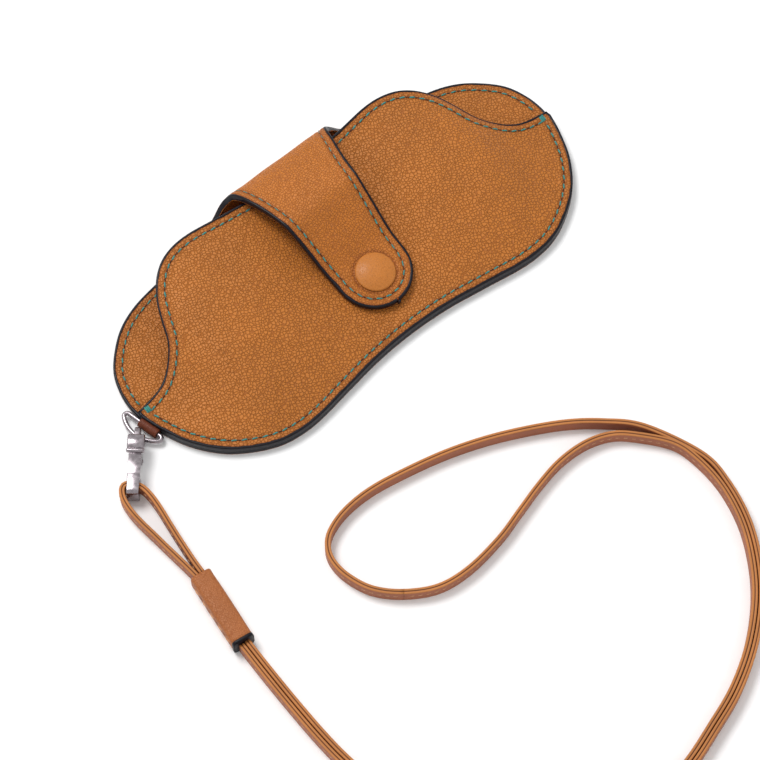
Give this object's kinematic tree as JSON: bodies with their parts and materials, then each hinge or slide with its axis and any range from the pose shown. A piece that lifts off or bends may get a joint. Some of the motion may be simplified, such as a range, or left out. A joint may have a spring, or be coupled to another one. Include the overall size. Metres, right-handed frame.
{
  "type": "glasses case",
  "caption": "Soft leather slip case for folded glasses: a mask-shaped pocket closed by a strap with a press stud, on a ribbon neck strap with a trigger hook.",
  "frame": {"origin": "the middle of the case's length, on its back face, which lies on the table", "axes": "+X along the case, away from the ring; +Y towards the strap's fold and the pocket's mouth; +Z out of the front panel"},
  "size_m": [0.1954, 0.2364, 0.0199],
  "materials": {
    "tan_leather": "pebble-grained, satin",
    "lining_leather": "smooth, matt",
    "cap_leather": "smooth, polished",
    "ribbon_leather": "smooth, matt, raw edges",
    "tab_leather": "smooth, dark",
    "edge_paint": "glossy edge paint",
    "teal_thread": "waxed polyester thread",
    "cream_thread": "waxed polyester thread",
    "nickel": "bright nickel plate"
  },
  "bodies": {
    "lanyard": {"hook_body": "nickel", "gate_pin": "nickel", "gate_spring": "nickel", "hook_loop": "ribbon_leather", "keeper": "ribbon_leather", "keeper_thread": "cream_thread", "neck_strap_outer": "ribbon_leather", "neck_strap_inner": "ribbon_leather"},
    "gate": {"hook_gate": "nickel"},
    "ring": {"dee_ring": "nickel"},
    "case": {"back_leather": "tan_leather", "back_lining": "lining_leather", "front_leather": "tan_leather", "front_lining": "lining_leather", "strap_root": "tan_leather", "strap_root_lining": "lining_leather", "seam_thread": "teal_thread", "mouth_thread": "teal_thread", "lobe_thread_left": "teal_thread", "lobe_thread_right": "teal_thread", "bar_tacks": "teal_thread", "stud": "nickel", "stud_rivet": "nickel", "ring_tab": "tab_leather"},
    "strap": {"strap_leather": "tan_leather", "strap_lining": "lining_leather", "strap_thread": "teal_thread", "stud_cap": "cap_leather", "stud_socket": "nickel"}
  },
  "joints": [
    {"name": "gate_open", "type": "hinge", "parent": "lanyard", "child": "gate", "pos_m": [-0.09445, -0.01172, 0.0019], "axis": [0.7466, -0.6652, 0], "range_deg": [0, 12], "stiffness_Nm_per_rad": 0.002, "springref_deg": -11.46, "deforming": ["gate_spring"]},
    {"name": "ring_tilt", "type": "hinge", "parent": "lanyard", "child": "ring", "pos_m": [-0.08921, -0.00472, 0.0021], "axis": [0.2161, -0.9764, 0], "range_deg": [0, 15]},
    {"name": "case_swing", "type": "hinge", "parent": "ring", "child": "case", "pos_m": [-0.08492, -0.00377, 0.0021], "axis": [0.2161, -0.9764, 0], "range_deg": [0, 60]},
    {"name": "strap_open", "type": "hinge", "parent": "case", "child": "strap", "pos_m": [0.0018, 0.03826, 0.00223], "axis": [-1, 0, 0], "range_deg": [0, 100]}
  ]
}
